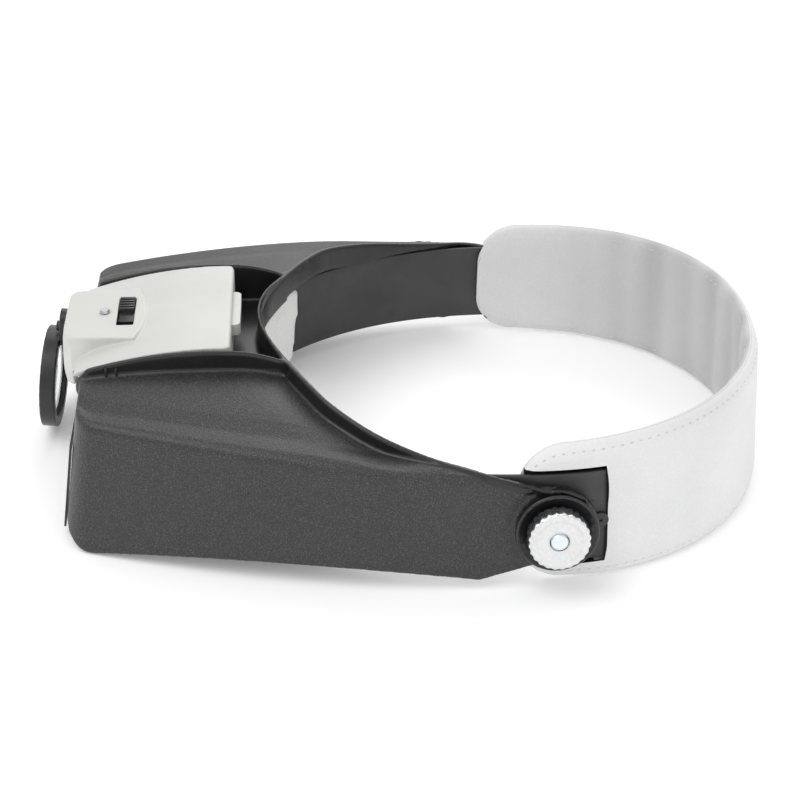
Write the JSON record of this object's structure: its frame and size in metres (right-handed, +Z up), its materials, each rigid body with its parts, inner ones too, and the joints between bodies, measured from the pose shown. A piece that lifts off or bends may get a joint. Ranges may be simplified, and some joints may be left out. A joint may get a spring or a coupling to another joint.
{
  "type": "head visor magnifier",
  "caption": "Head-worn magnifying visor with a lamp on its brow, a fold-down inner lens, a swing-out round loupe, side tilt knobs and a sleeved size-adjusting headband.",
  "frame": {"origin": "middle of the bottom of the whole object, on the plane the visor and the sleeve stand on", "axes": "+Z up, -Y the way the wearer looks, +X the wearer's left"},
  "size_m": [0.1982, 0.2623, 0.06],
  "materials": {
    "visor": "fine leather grain",
    "satin_black": "satin",
    "gloss_black": "gloss",
    "band": "satin",
    "lamp_shell": "satin",
    "clear_lens": "polished",
    "reflector": "polished",
    "board": "satin",
    "cell_jacket": "gloss",
    "steel": "zinc plated",
    "knob_chrome": "polished rim, satin face",
    "friction_rubber": "matte",
    "pad_cloth": "knitted",
    "leatherette": "light grain"
  },
  "bodies": {
    "headband": {"front_band": "band", "forehead_pad": "pad_cloth", "size_stud_L": "band", "size_stud_R": "band", "pivot_bolt_L": "steel", "pivot_bolt_R": "steel", "friction_washer_L": "friction_rubber", "friction_washer_R": "friction_rubber", "dished_washer_L": "gloss_black", "dished_washer_R": "gloss_black"},
    "rear_half": {"rear_strap": "band", "sleeve": "leatherette"},
    "visor": {"visor_shell": "visor", "lens_bezel": "satin_black", "main_lens": "clear_lens", "flip_pin": "steel", "loupe_collar": "satin_black", "loupe_screw": "steel"},
    "inner_lens": {"flip_frame": "satin_black", "flip_lens": "clear_lens"},
    "loupe": {"loupe_frame": "satin_black", "loupe_lens": "clear_lens"},
    "lamp": {"lamp_cover": "lamp_shell", "lamp_base": "lamp_shell", "cover_screw": "steel", "switch_body": "satin_black", "circuit_board": "board", "lamp_led": "clear_lens", "lamp_reflector": "reflector", "lamp_window": "clear_lens", "battery_cell_1": "cell_jacket", "battery_cell_2": "cell_jacket", "battery_contact_L": "steel", "battery_contact_R": "steel"},
    "switch": {"switch_slider": "satin_black"},
    "latch": {"battery_latch": "lamp_shell"},
    "knob_left": {"knob_L": "knob_chrome"},
    "knob_right": {"knob_R": "knob_chrome"}
  },
  "joints": [
    {"name": "visor_tilt", "type": "hinge", "parent": "headband", "child": "visor", "pos_m": [0, 0.0474, 0.0221], "axis": [-1, 0, 0], "range_deg": [0, 50]},
    {"name": "inner_lens_fold", "type": "hinge", "parent": "visor", "child": "inner_lens", "pos_m": [0, -0.1046, 0.0399], "axis": [-1, 0, 0], "range_deg": [0, 90]},
    {"name": "loupe_swing", "type": "hinge", "parent": "visor", "child": "loupe", "pos_m": [-0.02, -0.1193, 0.0416], "axis": [0.0521, 0.9951, -0.0837], "range_deg": [-30, 110]},
    {"name": "lamp_tilt", "type": "hinge", "parent": "visor", "child": "lamp", "pos_m": [0, -0.097, 0.0482], "axis": [1, 0, 0], "range_deg": [0, 6]},
    {"name": "switch_slide", "type": "slide", "parent": "lamp", "child": "switch", "axis": [1, 0, 0], "range_m": [0, 0.004]},
    {"name": "battery_latch_press", "type": "slide", "parent": "lamp", "child": "latch", "axis": [0, -1, 0], "range_m": [0, 0.0008], "stiffness_N_per_m": 600},
    {"name": "knob_turn_left", "type": "hinge", "parent": "headband", "child": "knob_left", "pos_m": [0.0861, 0.0474, 0.0221], "axis": [0.9923, 0, 0.124], "continuous": true},
    {"name": "knob_turn_right", "type": "hinge", "parent": "headband", "child": "knob_right", "pos_m": [-0.0861, 0.0474, 0.0221], "axis": [-0.9923, 0, 0.124], "continuous": true},
    {"name": "size_adjust", "type": "slide", "parent": "headband", "child": "rear_half", "axis": [0, 1, 0], "range_m": [0, 0.012], "deforming": ["sleeve", "rear_strap"]}
  ]
}
